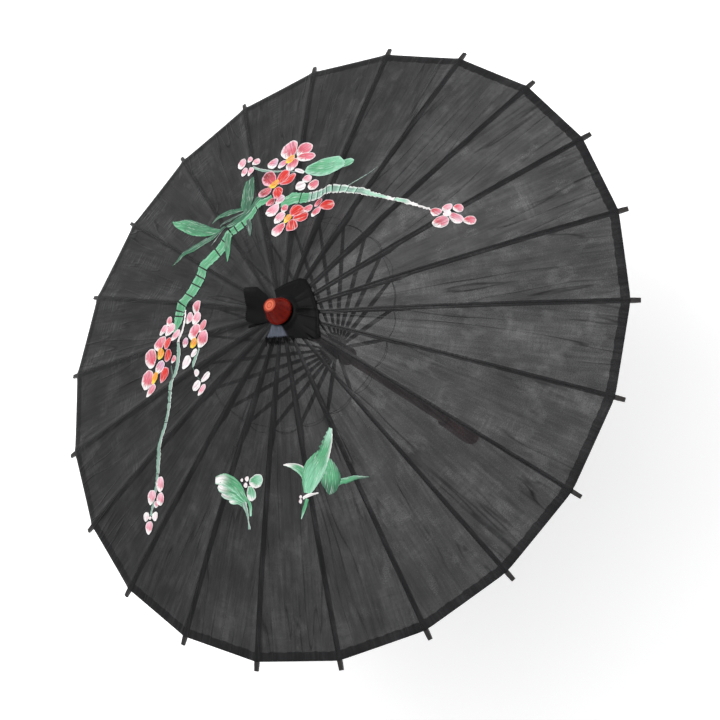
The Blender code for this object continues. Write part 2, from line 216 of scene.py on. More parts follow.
def surface(gap, share, s, lift=0.0):
    """Points of the cloth, as a share of the way from rib GAP to the next one, and s along them."""
    radius, height = from_rib_frame(s, rib_top(s) + CLOTH_LIFT + lift)
    return between_ribs(gap, share, radius, height + relief(gap, share, s, 2 * radius * sin(PITCH / 2)))


def lay_on_cloth(points, lift):
    """Lays points, given in plan as (x, y), on the cloth."""
    turn = np.mod(-np.arctan2(points[:, 1], points[:, 0]), 2 * pi)
    gaps = np.minimum((turn / PITCH).astype(int), RIBS - 1) + 1
    laid = np.zeros((len(points), 3))
    for gap in np.unique(gaps):
        chosen = gaps == gap
        middle = (rib_angle(gap) + rib_angle(gap + 1)) / 2
        out = points[chosen] @ np.array([cos(middle), sin(middle)])
        across = points[chosen] @ np.array([sin(middle), -cos(middle)])
        radius = out / cos(PITCH / 2)
        s = s_at_radius(radius, CLOTH_LIFT)
        share = 0.5 + across / (2 * radius * sin(PITCH / 2))
        laid[chosen] = surface(gap, share, s, lift[chosen])
    return laid


# meshes and pieces


def cut_by_ribs(bm, name, lay):
    """Cuts a sheet drawn in plan along the ribs and halfway between them, and lays it on the parasol.

    Returns a mesh for each rib, and the part within the hub under number 0."""
    for i in range(RIBS):
        angle = i * PITCH / 2
        everything = bm.verts[:] + bm.edges[:] + bm.faces[:]
        side = (-sin(angle), cos(angle), 0)
        bmesh.ops.bisect_plane(bm, geom=everything, plane_co=(0, 0, 0), plane_no=side, dist=1e-7)
    bmesh.ops.triangulate(bm, faces=bm.faces)
    bm.verts.index_update()
    vertices = np.array([v.co[:2] for v in bm.verts])
    lifts, colours, bristles = (np.array([v[layer] for v in bm.verts]) for layer in plan_layers(bm))
    faces = np.array([[v.index for v in face.verts] for face in bm.faces])
    bm.free()
    centres = vertices[faces].mean(axis=1)
    turn = np.mod(-np.arctan2(centres[:, 1], centres[:, 0]) + PITCH / 2, 2 * pi)
    owners = (turn / PITCH).astype(int) % RIBS + 1
    owners[np.linalg.norm(centres, axis=1) < COLLAR_RADIUS] = 0
    laid = lay(vertices, lifts)
    meshes = {}
    for number in np.unique(owners):
        used, local = np.unique(faces[owners == number], return_inverse=True)
        mesh = bpy.data.meshes.new(f"{name}_{number:02d}")
        mesh.from_pydata(laid[used].tolist(), [], local.reshape(-1, 3).tolist())
        set_attribute(mesh, "paint", "FLOAT_COLOR", "color", colours[used])
        set_attribute(mesh, "bristle", "FLOAT_VECTOR", "vector", bristles[used])
        mesh.shade_smooth()
        face_up(mesh)
        meshes[int(number)] = mesh
    return meshes


def new_plan():
    """An empty mesh for a sheet drawn in plan, with its lift, colour and texture coordinates."""
    bm = bmesh.new()
    bm.verts.layers.float.new("lift")
    bm.verts.layers.float_color.new("paint")
    bm.verts.layers.float_vector.new("bristle")
    return bm


def plan_layers(bm):
    layers = bm.verts.layers
    return layers.float["lift"], layers.float_color["paint"], layers.float_vector["bristle"]


def add_grid(bm, places, lifts, colours, textures, closed=False):
    """Adds rows x columns of (a, b) places in millimetres to a sheet drawn in plan."""
    lift, paint, bristle = plan_layers(bm)
    grid = np.empty(places.shape[:2], object)
    for at in np.ndindex(grid.shape):
        vertex = bm.verts.new((*to_plan(places[at]), 0))
        vertex[lift], vertex[paint], vertex[bristle] = lifts[at], (*colours[at], 1), textures[at]
        grid[at] = vertex
    columns = grid.shape[1]
    for one, two in zip(grid, grid[1:]):
        for j in range(columns if closed else columns - 1):
            k = (j + 1) % columns
            bm.faces.new((one[j], one[k], two[k], two[j]))


def lathe(name, profile, steps=72):
    """A turned shape from rows of (radius, height) in millimetres, with its corners eased."""
    line = np.array(profile, float)
    for _ in range(2):
        cut = np.empty((2 * len(line) - 2, 2))
        cut[0::2] = 0.75 * line[:-1] + 0.25 * line[1:]
        cut[1::2] = 0.25 * line[:-1] + 0.75 * line[1:]
        line = np.concatenate([line[:1], cut, line[-1:]])
    angle = np.linspace(0, 2 * pi, steps, endpoint=False)
    radius, height = np.maximum(line[:, :1], 0.01), np.repeat(line[:, 1:], steps, axis=1)
    points = np.stack([radius * np.cos(angle), radius * np.sin(angle), height], axis=-1) * MM
    mesh = grid_mesh(name, points, closed=True)
    bm = bmesh.new()
    bm.from_mesh(mesh)
    bmesh.ops.holes_fill(bm, edges=[edge for edge in bm.edges if edge.is_boundary], sides=steps)
    bmesh.ops.recalc_face_normals(bm, faces=bm.faces)
    bm.to_mesh(mesh)
    bm.free()
    return mesh


def tube(name, lines, radius, sides=8):
    """Round cords of one thickness along rows of points."""
    points, faces = [], []
    around = np.linspace(0, 2 * pi, sides, endpoint=False)
    for line in lines:
        way = unit(np.gradient(line, axis=0))
        side = unit(np.cross(way, [0, 0, 1]))
        up = np.cross(side, way)
        ring = np.cos(around)[None, :, None] * side[:, None] + np.sin(around)[None, :, None] * up[:, None]
        start = len(points)
        points += (line[:, None] + radius * ring).reshape(-1, 3).tolist()
        for i in range(len(line) - 1):
            for j in range(sides):
                k = (j + 1) % sides
                low, high = start + i * sides, start + (i + 1) * sides
                faces.append((low + j, low + k, high + k, high + j))
    mesh = bpy.data.meshes.new(name)
    mesh.from_pydata(points, [], faces)
    mesh.shade_smooth()
    return mesh


def eased_copy(name, bevel, fibres=None):
    """A copy of a CAD piece with its edges eased, and a UV map in metres with v along its fibres."""
    bm = bmesh.new()
    bm.from_mesh(nodes[name].data)
    bmesh.ops.remove_doubles(bm, verts=bm.verts, dist=0.001 * MM)
    bmesh.ops.dissolve_limit(bm, angle_limit=radians(1), verts=bm.verts, edges=bm.edges)
    sharp = [e for e in bm.edges if e.is_manifold and e.calc_face_angle() > radians(30)]
    shape = {"segments": 2, "profile": 0.6, "affect": "EDGES", "clamp_overlap": True}
    bmesh.ops.bevel(bm, geom=sharp, offset=bevel, offset_type="OFFSET", **shape)
    mesh = bpy.data.meshes.new(name + "_wood")
    bm.to_mesh(mesh)
    bm.free()
    mesh.shade_smooth()
    mesh.set_sharp_from_angle(angle=radians(32))
    if fibres:
        origin, along, across = fibres
        offset = np.array([v.co for v in mesh.vertices]) - origin
        up = np.cross(along, across)
        set_uvs(mesh, np.stack([offset @ across + offset @ up, offset @ along], axis=1))
    return mesh


def new_object(name, data):
    ob = bpy.data.objects.new(name, data)
    bpy.context.scene.collection.objects.link(ob)
    return ob


def use_material(ob, material):
    ob.data.materials.clear()
    ob.data.materials.append(material)


def add_piece(name, mesh, material, body, node=None):
    """A piece that rides on a body, and takes the place of a CAD node if one is named."""
    ob = new_object(name, mesh)
    use_material(ob, material)
    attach(ob, body)
    if node:
        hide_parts(node)
    return ob


def grid_mesh(name, points, uvs=None, closed=False):
    """A mesh of quads from a rows x columns x 3 array. A closed one joins its last column to its first."""
    rows, columns = points.shape[:2]
    corner = np.arange(rows * columns).reshape(rows, columns)
    if closed:
        corner = np.concatenate([corner, corner[:, :1]], axis=1)
    around = (corner[:-1, :-1], corner[1:, :-1], corner[1:, 1:], corner[:-1, 1:])
    faces = np.stack(around, axis=-1).reshape(-1, 4)
    mesh = bpy.data.meshes.new(name)
    mesh.from_pydata(points.reshape(-1, 3).tolist(), [], faces.tolist())
    if uvs is not None:
        set_uvs(mesh, uvs.reshape(-1, 2))
    mesh.shade_smooth()
    return mesh


def set_uvs(mesh, uvs):
    """Gives each vertex of a mesh one place in its UV map."""
    vertices = [loop.vertex_index for loop in mesh.loops]
    mesh.uv_layers.new(name="UVMap").data.foreach_set("uv", uvs[vertices].astype(np.float32).ravel())


def set_attribute(mesh, name, kind, field, values):
    layer = mesh.attributes.new(name, kind, "POINT")
    layer.data.foreach_set(field, values.astype(np.float32).ravel())


def face_up(mesh):
    """Turns a sheet's faces so that they look up on the whole."""
    if sum(face.normal.z * face.area for face in mesh.polygons) < 0:
        mesh.flip_normals()


# materials


def linear(colour):
    """Scene-linear values of a colour given as sRGB shares."""
    return tuple(c / 12.92 if c < 0.04045 else ((c + 0.055) / 1.055) ** 2.4 for c in colour)


class NodeTree:
    """Short ways to add and join shader nodes."""

    def __init__(self, tree):
        self.tree = tree

    def node(self, kind, inputs=(), **settings):
        node = self.tree.nodes.new("ShaderNode" + kind)
        for key, value in settings.items():
            setattr(node, key, value)
        for key, value in dict(inputs).items():
            if isinstance(value, bpy.types.NodeSocket):
                self.tree.links.new(value, node.inputs[key])
            else:
                node.inputs[key].default_value = value
        return node

    def place(self, stretch, source="UV"):
        """Texture coordinates of an object, or another vector, stretched."""
        vector = self.node("TexCoord").outputs[source] if isinstance(source, str) else source
        return self.node("Mapping", {"Vector": vector, "Scale": stretch}).outputs["Vector"]

    def attribute(self, name, output):
        return self.node("Attribute", attribute_name=name).outputs[output]

    def noise(self, stretch, detail=3.0, roughness=0.5, source="UV"):
        inputs = {"Vector": self.place(stretch, source), "Scale": 1.0, "Detail": detail, "Roughness": roughness}
        return self.node("TexNoise", inputs).outputs["Fac"]

    def wave(self, stretch, source="UV", distortion=0.0, **settings):
        inputs = {"Vector": self.place(stretch, source), "Scale": 1.0, "Detail": 2.0, "Distortion": distortion}
        return self.node("TexWave", inputs, **settings).outputs["Fac"]

    def ramp(self, factor, stops):
        """A colour ramp with (place, sRGB colour) stops."""
        ramp = self.node("ValToRGB", {"Fac": factor})
        elements = ramp.color_ramp.elements
        while len(elements) < len(stops):
            elements.new(0.5)
        for element, (place, colour) in zip(elements, stops):
            element.position = place
            element.color = (*linear(colour), 1)
        return ramp.outputs["Color"]

    def range(self, factor, low, high, from_low=0.0, from_high=1.0):
        inputs = {0: factor, 1: from_low, 2: from_high, 3: low, 4: high}
        return self.node("MapRange", inputs).outputs[0]

    def maths(self, operation, one, two=0.0):
        return self.node("Math", {0: one, 1: two}, operation=operation).outputs[0]

    def blend(self, one, two, share):
        """SHARE of ONE and the rest of TWO."""
        return self.maths("ADD", self.maths("MULTIPLY", one, share), self.maths("MULTIPLY", two, 1 - share))

    def mix(self, one, two, factor, blend="MIX"):
        """Colour ONE with colour TWO over it, as much as FACTOR says."""
        return self.node("Mix", {0: factor, 6: one, 7: two}, data_type="RGBA", blend_type=blend).outputs[2]


class Material(NodeTree):
    """A material with a Principled shader."""

    def __init__(self, name, roughness=0.5, **sockets):
        self.material = bpy.data.materials.new(name)
        self.material.use_nodes = True
        super().__init__(self.material.node_tree)
        self.shader = self.tree.nodes["Principled BSDF"]
        for socket, value in {"Roughness": roughness, **sockets}.items():
            self.shader.inputs[socket.replace("_", " ")].default_value = value

    def join(self, output, socket):
        self.tree.links.new(output, self.shader.inputs[socket])

    def bump(self, height, strength, distance, normal=None):
        inputs = {"Height": height, "Strength": strength, "Distance": distance}
        if normal:
            inputs["Normal"] = normal
        normal = self.node("Bump", inputs).outputs["Normal"]
        self.join(normal, "Normal")
        return normal


def make_cloth():
    """Sheer black cloth. Its UV map is in metres, u across the panel and v from the shaft outwards."""
    m = Material("sheer_black_cloth", 0.34, Specular_IOR_Level=0.08)
    streaks = m.noise((230, 12, 1), 5, 0.65)
    cloudy = m.noise((26, 15, 1), 5, 0.6)
    both = m.blend(streaks, cloudy, 0.45)
    shades = [(0.36, (0.075, 0.075, 0.08)), (0.5, (0.112, 0.112, 0.117)), (0.64, (0.165, 0.165, 0.17))]
    # painted sheen: where the panels let more light through, towards one side round the shaft, the base colour
    # is lightened too
    sheer_and_sheen = m.attribute("sheer_and_sheen", "Fac")
    painted_sheen_tone = m.range(sheer_and_sheen, 0.95, 1.4, SHEER_LOW, SHEER_HIGH)
    m.join(m.mix(m.ramp(both, shades), painted_sheen_tone, 1.0, "MULTIPLY"), "Base Color")
    m.join(m.range(cloudy, 0.26, 0.42), "Roughness")

    # long creases, where the cloth is doubled, are darker and let less light through
    off_line = m.maths("ABSOLUTE", m.maths("SUBTRACT", m.noise((30, 2.8, 1), 2.5, 0.45), 0.5))
    where = m.range(m.noise((16, 6, 1), 1), 0, 1, 0.42, 0.55)
    creased = m.maths("MULTIPLY", m.range(off_line, 1.0, 0.0, 0.0, 0.014), where)
    # pulled patches, puckers across the gores and smudges let more through
    patch = m.range(m.noise((52, 24, 1), 1.5), 0, 1, 0.6, 0.7)
    puckers = m.range(m.noise((38, 190, 1), 2), -0.5, 1.0, 0.35, 0.65)
    ribbed = m.maths("MULTIPLY", puckers, m.range(cloudy, 0, 1, 0.5, 0.65))
    smudge = m.range(m.noise((34, 20, 7), 5, 0.6), 0, 1, 0.55, 0.66)
    thin = m.range(both, 0.66, 1.34, 0.36, 0.64)
    for mark, share in ((creased, -0.75), (patch, 0.35), (ribbed, 0.35), (smudge, 0.75)):
        thin = m.maths("ADD", thin, m.maths("MULTIPLY", mark, share))
    weave = m.range(m.noise((640, 640, 1), 2), 0.7, 1.3, 0.3, 0.7)
    thin = m.maths("MULTIPLY", m.maths("MULTIPLY", thin, weave), sheer_and_sheen)
    m.join(m.maths("SUBTRACT", 1.0, thin), "Alpha")

    crinkle = m.noise((190, 16, 1), 4, 0.6)
    normal = None
    reliefs = ((patch, 0.8, 0.6), (ribbed, 0.6, 0.5), (creased, 0.8, 0.8), (crinkle, 0.5, 0.8))
    for height, strength, depth in reliefs:
        normal = m.bump(height, strength, depth * MM, normal)
    warp = m.wave((520, 0, 0), bands_direction="X")
    weft = m.wave((0, 520, 0), bands_direction="Y")
    m.bump(m.maths("MAXIMUM", warp, weft), 0.12, 0.08 * MM, normal)
    return m.material


def make_satin():
    """Black satin of the neck cloth, with its own colour and texture coordinates."""
    m = Material("black_satin", 0.4, Specular_IOR_Level=0.05)
    lines = m.noise((420, 90, 1), 4, 0.6, m.attribute("bristle", "Vector"))
    shade = m.range(lines, 0.7, 1.3, 0.3, 0.7)
    m.join(m.mix(m.attribute("paint", "Color"), shade, 1.0, "MULTIPLY"), "Base Color")
    m.join(m.range(lines, 0.34, 0.52), "Roughness")
    m.bump(lines, 0.2, 0.2 * MM)
    return m.material


def make_paint():
    """Brush paint. The strokes carry their colours, and a map across and along each stroke."""
    m = Material("brush_paint", 0.5, Specular_IOR_Level=0.35)
    bristles = m.attribute("bristle", "Vector")
    streaks = m.noise((560, 45, 1), 4, 0.65, bristles)
    dry = m.range(m.noise((900, 70, 3), 2, source=bristles), 0, 0.5, 0.55, 0.72)
    grain = m.noise((900, 900, 900), 3, 0.6, "Object")
    thin = m.maths("ADD", streaks, m.maths("MULTIPLY", grain, 0.35))
    shade = m.range(streaks, 0.45, 1.15, 0.32, 0.68)
    colour = m.mix(m.attribute("paint", "Color"), shade, 1.0, "MULTIPLY")
    colour = m.mix(colour, (*linear((0.85, 0.9, 0.87)), 1), dry)
    colour = m.mix(colour, (*linear((0.2, 0.22, 0.21)), 1), m.range(thin, 0.0, 0.7, 0.74, 0.92))
    m.join(colour, "Base Color")
    m.bump(streaks, 0.5, 0.15 * MM)
    return m.material


def make_grained(name, roughness, specular, stops, grain, figure, share, rough, bump, source="Object"):
    """Wood or bamboo with a fine grain over a broader figure, each stretched its own way."""
    m = Material(name, roughness, Specular_IOR_Level=specular)
    fine = m.noise(grain, 4, 0.6, source)
    broad = m.noise(figure, source=source)
    m.join(m.ramp(m.blend(fine, broad, share), stops), "Base Color")
    m.join(m.range(broad, *rough), "Roughness")
    m.bump(fine, bump, 0.12 * MM)
    return m.material


def make_bamboo():
    """Black-stained bamboo. Its UV map is in metres, u across the fibres and v along them."""
    stops = [(0.32, (0.05, 0.045, 0.045)), (0.58, (0.10, 0.085, 0.08)), (0.78, (0.21, 0.15, 0.11))]
    stretches = (1900, 22, 1), (120, 9, 1)
    return make_grained("stained_bamboo", 0.42, 0.4, stops, *stretches, 0.65, (0.34, 0.55), 0.5, "UV")


def make_wood(name, stops, roughness):
    """Turned, stained wood with its grain up the shaft."""
    rough = (roughness - 0.06, roughness + 0.12)
    return make_grained(name, roughness, 0.45, stops, (900, 900, 28), (120, 120, 9), 0.55, rough, 0.4)


def make_lacquer(name, end_height):
    """Red lacquer over wood, with a paler, bare end above END_HEIGHT that shows growth rings."""
    m = Material(name, 0.14, Specular_IOR_Level=0.06)
    figure = m.noise((260, 260, 30), 4, 0.6, "Object")
    reds = [(0.3, (0.33, 0.055, 0.035)), (0.52, (0.40, 0.075, 0.04)), (0.74, (0.46, 0.10, 0.055))]
    rings = m.wave((95, 95, 95), "Object", 2.5, wave_type="RINGS", rings_direction="Z")
    end = m.ramp(rings, [(0.1, (0.64, 0.26, 0.18)), (0.6, (0.77, 0.39, 0.29))])
    height = m.node("SeparateXYZ", {0: m.place((1, 1, 1), "Object")}).outputs["Z"]
    bare = m.range(height, 0.0, 1.0, end_height - 0.15 * MM, end_height)
    m.join(m.mix(m.ramp(figure, reds), end, bare), "Base Color")
    m.join(m.range(bare, 0.14, 0.4), "Roughness")
    m.bump(figure, 0.15, 0.1 * MM)
    return m.material


def make_thread():
    """Twisted black thread."""
    m = Material("black_thread", 0.7)
    twist = m.wave((520, 520, 520), "Object", bands_direction="DIAGONAL")
    m.join(m.ramp(twist, [(0.2, (0.06, 0.06, 0.06)), (0.8, (0.17, 0.17, 0.17))]), "Base Color")
    m.bump(twist, 0.6, 0.2 * MM)
    return m.material


def make_steel():
    m = Material("spring_steel", 0.35, Metallic=1.0)
    lines = m.noise((2500, 2500, 60), source="Object")
    m.join(m.ramp(lines, [(0.3, (0.62, 0.62, 0.63)), (0.7, (0.78, 0.78, 0.79))]), "Base Color")
    m.join(m.range(lines, 0.25, 0.45), "Roughness")
    m.bump(lines, 0.2, 0.05 * MM)
    return m.material


# canopy


def panel_mesh(number):
    """Cloth from halfway to the rib before to halfway to the rib after, with its hem turned under."""
    s_in = s_at_radius(CLOTH_INNER_RADIUS, CLOTH_LIFT)
    s_hem = s_at_radius(HEM_RADIUS, CLOTH_LIFT)
    rows = [(s, 0.0, 0.0) for s in np.linspace(s_in, s_hem, PANEL_ROWS)]
    rows += [(s_hem + 0.25 * MM, -0.2 * MM, 0.0)]
    rows += [(s_hem - share * HEM_WIDTH, -0.4 * MM, share) for share in (0.05, 0.4, 0.75, 1.0)]
    points, uvs, shades = [], [], []
    for s, lift, folded in rows:
        span = 2 * from_rib_frame(s, rib_top(s))[0] * sin(PITCH / 2)
        edge = min(RIB_FLAT / span, 0.26)
        half = np.concatenate([[0, edge / 2], np.linspace(edge, 0.5, PANEL_COLUMNS - 1)])
        for sign, gap in ((-1, number - 1 or RIBS), (1, number)):
            share = 1 - half[::-1] if sign < 0 else half[1:]
            ragged = 0.7 * MM * np.sin(41 * share + 2 * gap) * np.sin(17 * share) * (folded == 1)
            laid = surface(gap, share, s + ragged, lift)
            points.append(laid)
            u = (share - 0.5) * span + 0.3 * gap
            uvs.append(np.stack([u, np.full_like(u, s + 2 * folded * HEM_WIDTH)], axis=-1))
            shades.append(np.full_like(u, GORE_SHADES[gap - 1]))
    columns = 2 * PANEL_COLUMNS + 1
    points = np.concatenate(points).reshape(len(rows), columns, 3)
    uvs = np.concatenate(uvs).reshape(len(rows), columns, 2)
    mesh = grid_mesh(f"panel_{number:02d}", points, uvs)
    # painted sheen: the share of light through the cloth, and with it the lightening of its base colour, rises
    # towards one side round the shaft and is scaled at random for each gore
    turn = np.arctan2(points[..., 1], points[..., 0]) - PAINTED_SHEEN_ANGLE
    sheer_and_sheen = SHEER_LOW + (SHEER_HIGH - SHEER_LOW) * (0.5 + 0.5 * np.cos(turn)) ** SHEER_POWER
    sheer_and_sheen *= np.concatenate(shades).reshape(sheer_and_sheen.shape)
    set_attribute(mesh, "sheer_and_sheen", "FLOAT", "value", sheer_and_sheen)
    face_up(mesh)
    return mesh


def add_on_rib(kind, number, mesh, material, node=None):
    """A piece that rides on a rib, with a mesh of its own."""
    ob = add_piece(f"{kind}_{number:02d}", mesh, material, f"rib_{number:02d}", node)
    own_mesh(ob)
    return ob


def add_canopy():
    width = 2 * HEM_RADIUS * sin(PITCH / 2)
    length = s_at_radius(HEM_RADIUS) - s_at_radius(CLOTH_INNER_RADIUS) + HEM_WIDTH
    inner = 2 * CLOTH_INNER_RADIUS * sin(PITCH / 2)
    area = (width + inner) / 2 * (length - HEM_WIDTH) + width * HEM_WIDTH
    panels = {}
    for number in range(1, RIBS + 1):
        panels[number] = add_on_rib("panel", number, panel_mesh(number), cloth, "canopy")
    return panels, (width, length), area


# painting


def along_curve(points, count):
    """COUNT points evenly along a smooth curve through rows of (a, b, width)."""
    points = np.array(points, float)
    ends = np.concatenate([[2 * points[0] - points[1]], points, [2 * points[-1] - points[-2]]])
    dense = []
    t = np.linspace(0, 1, 12, endpoint=False)[:, None]
    for p0, p1, p2, p3 in zip(ends, ends[1:], ends[2:], ends[3:]):
        square, cube = 2 * p0 - 5 * p1 + 4 * p2 - p3, 3 * p1 - p0 - 3 * p2 + p3
        dense.append(0.5 * (2 * p1 + (p2 - p0) * t + square * t**2 + cube * t**3))
    dense = np.concatenate(dense + [points[-1:]])
    steps = np.linalg.norm(np.diff(dense[:, :2], axis=0), axis=1)
    way = np.concatenate([[0], np.cumsum(steps)])
    even = np.linspace(0, way[-1], count)
    return np.stack([np.interp(even, way, column) for column in dense.T], axis=1), way[-1]


def side_of(line):
    """Direction to the right of a line in plan, at each of its points."""
    return unit(np.gradient(line[:, :2], axis=0)) @ np.array([[0, -1], [1, 0]])


class Painting:
    """Strokes collected in plan, in millimetres, before they are cut between panels and laid down."""

    def __init__(self):
        self.bm = new_plan()
        self.rng = np.random.default_rng(5)
        self.count = 0

    def add(self, places, across, along, colours, layer, closed=False):
        """Adds one stroke: rows x columns of (a, b) places, bristle coordinates and colours."""
        self.count += 1
        lifts = np.full(places.shape[:2], PAINT_LIFT + layer * PAINT_LAYER)
        textures = np.stack([across * MM, along * MM, np.full_like(across, 0.37 * self.count)], axis=-1)
        add_grid(self.bm, places, lifts, colours, textures, closed)

    def stroke(self, points, look, layer=0, ragged=0.35, notches=0):
        """A stroke of the brush along a curve of (a, b, width)."""
        body, left, right, end = look
        length = sum(dist(p[:2], q[:2]) for p, q in zip(points, points[1:]))
        line, length = along_curve(points, max(6, int(length / 2)))
        side = side_of(line)
        shares = np.linspace(-1, 1, STROKE_COLUMNS)
        rows = len(line)
        jitter = self.rng.uniform(-ragged, ragged, (rows, 2))
        half = np.maximum(line[:, 2], 0.15) / 2
        low, high = -half + jitter[:, 0], half + jitter[:, 1]
        if notches:
            saw = np.mod(np.linspace(0, notches, rows), 1)
            low = low * (1 - 0.45 * saw)
        width = low[:, None] + (high - low)[:, None] * (shares[None] + 1) / 2
        places = line[:, None, :2] + side[:, None] * width[..., None]
        t = np.linspace(0, 1, rows)[:, None, None]
        v = shares[None, :, None]
        colours = body + (end - body) * smooth_step(0.5, 0.9, t)
        colours = colours + (left - colours) * smooth_step(0.6, 0.95, -v)
        colours = colours + (right - colours) * smooth_step(0.6, 0.95, v)
        colours = np.broadcast_to(colours, (rows, len(shares), 3))
        along = np.broadcast_to(np.linspace(0, length, rows)[:, None], width.shape)
        self.add(places, width, along, colours, layer)

    def dab(self, a, b, length, width, turn, look, layer=0):
        """A round or egg-shaped dab: centre, length, width, the direction of its wide end in degrees."""
        body, heart, rim, rim_width = look
        turn = radians(turn)
        rings = 8 if length < 30 else 16
        out = np.sqrt(np.linspace(0.00002, 1, rings))[:, None]
        round_it = np.linspace(0, 2 * pi, DAB_COLUMNS, endpoint=False)[None]
        wobble = 1 + 0.03 * np.sin(3 * round_it + a) + 0.02 * np.sin(7 * round_it + b)
        streaky = self.rng.uniform(-1, 1, (1, DAB_COLUMNS))
        along = out * np.cos(round_it) * length / 2 * wobble
        across = out * np.sin(round_it) * (1 + 0.16 * np.cos(round_it)) * width / 2 * wobble
        direction = np.array([cos(turn), sin(turn)])
        side = np.array([-direction[1], direction[0]])
        places = np.array([a, b]) + along[..., None] * direction + across[..., None] * side
        facing = (np.cos(round_it)[..., None] * direction + np.sin(round_it)[..., None] * side) @ WHITE_SIDE
        inner = 1 - rim_width * np.clip(0.5 + 0.9 * facing + 0.3 * streaky, 0.0, 1.6)
        amount = smooth_step(inner, inner + 0.5, out + 0.05 * streaky)
        amount = np.maximum(amount, 0.85 * smooth_step(0.82, 0.97, out + 0.03 * streaky))
        near_base = smooth_step(0.1, 0.8, 0.5 - 0.5 * out * np.cos(round_it))
        colours = body + (heart - body) * near_base[..., None]
        colours = colours + (rim - colours) * amount[..., None]
        self.add(places, across, along, colours, layer, closed=True)


def to_plan(place):
    """(x, y) in metres of a place in the painting's own axes, in millimetres."""
    a, b = place
    c, s = cos(PAINT_TURN), sin(PAINT_TURN)
    return ((a * c - b * s) * MM, (a * s + b * c) * MM)


def rgb(*colour):
    return np.array(linear(colour))


WHITE = rgb(0.97, 0.95, 0.95)
BLUSH = rgb(0.96, 0.86, 0.89)
PALE_PINK = rgb(0.95, 0.74, 0.80)
SOFT_PINK = rgb(0.93, 0.60, 0.68)
PINK = rgb(0.90, 0.50, 0.58)
ROSE = rgb(0.84, 0.30, 0.37)
RED = rgb(0.86, 0.15, 0.11)
DARK_RED = rgb(0.56, 0.15, 0.18)
MAUVE = rgb(0.84, 0.68, 0.78)
ORANGE = rgb(0.96, 0.60, 0.10)
YELLOW = rgb(0.98, 0.84, 0.22)
LEAF = rgb(0.34, 0.65, 0.47)
GRASS = rgb(0.25, 0.52, 0.37)
DEEP_LEAF = rgb(0.17, 0.40, 0.29)
LIGHT_LEAF = rgb(0.50, 0.78, 0.63)
PALE_LEAF = rgb(0.66, 0.86, 0.76)
GREY_LEAF = rgb(0.52, 0.66, 0.60)
FAINT = rgb(0.27, 0.37, 0.33)

# dabs: body, heart, rim, share of the dab that the rim takes
DABS = {
    "white": (WHITE, BLUSH, WHITE, 0.6),
    "pale": (PALE_PINK, PINK, WHITE, 0.62),
    "pink": (SOFT_PINK, ROSE, WHITE, 0.55),
    "rose": (PINK, ROSE, WHITE, 0.5),
    "red": (RED, RED, PALE_PINK, 0.26),
    "dark": (DARK_RED, ROSE, PALE_PINK, 0.4),
    "mauve": (MAUVE, PINK, WHITE, 0.65),
    "yellow": (ORANGE, ORANGE, YELLOW, 0.6),
    "leaf": (LIGHT_LEAF, LEAF, PALE_LEAF, 0.35),
    "wing": (PALE_LEAF, LEAF, WHITE, 0.5),
}

# strokes: body, left edge, right edge, far end
STROKES = {
    "cane": (LEAF, LIGHT_LEAF, LIGHT_LEAF, LEAF),
    "grey_cane": (GREY_LEAF, WHITE, WHITE, PALE_LEAF),
    "white_cane": (PALE_LEAF, WHITE, WHITE, WHITE),
    "grass": (GRASS, LEAF, DEEP_LEAF, LEAF),
    "pale_stem": (GREY_LEAF, WHITE, GREY_LEAF, GREY_LEAF),
    "white_stem": (WHITE, WHITE, WHITE, WHITE),
    "leaf": (LEAF, LEAF, DEEP_LEAF, PALE_LEAF),
    "deep": (DEEP_LEAF, GRASS, DEEP_LEAF, DEEP_LEAF),
    "faint": (FAINT, DEEP_LEAF, FAINT, FAINT),
    "thread": (FAINT, FAINT, FAINT, FAINT),
    "wing": (LEAF, PALE_LEAF, LEAF, WHITE),
    "feather": (LEAF, DEEP_LEAF, WHITE, PALE_LEAF),
    "belly": (LIGHT_LEAF, LEAF, PALE_LEAF, LEAF),
    "side": (LEAF, PALE_LEAF, WHITE, WHITE),
    "lobe": (LEAF, DEEP_LEAF, DEEP_LEAF, DEEP_LEAF),
    "tail": (LEAF, PALE_LEAF, DEEP_LEAF, FAINT),
}

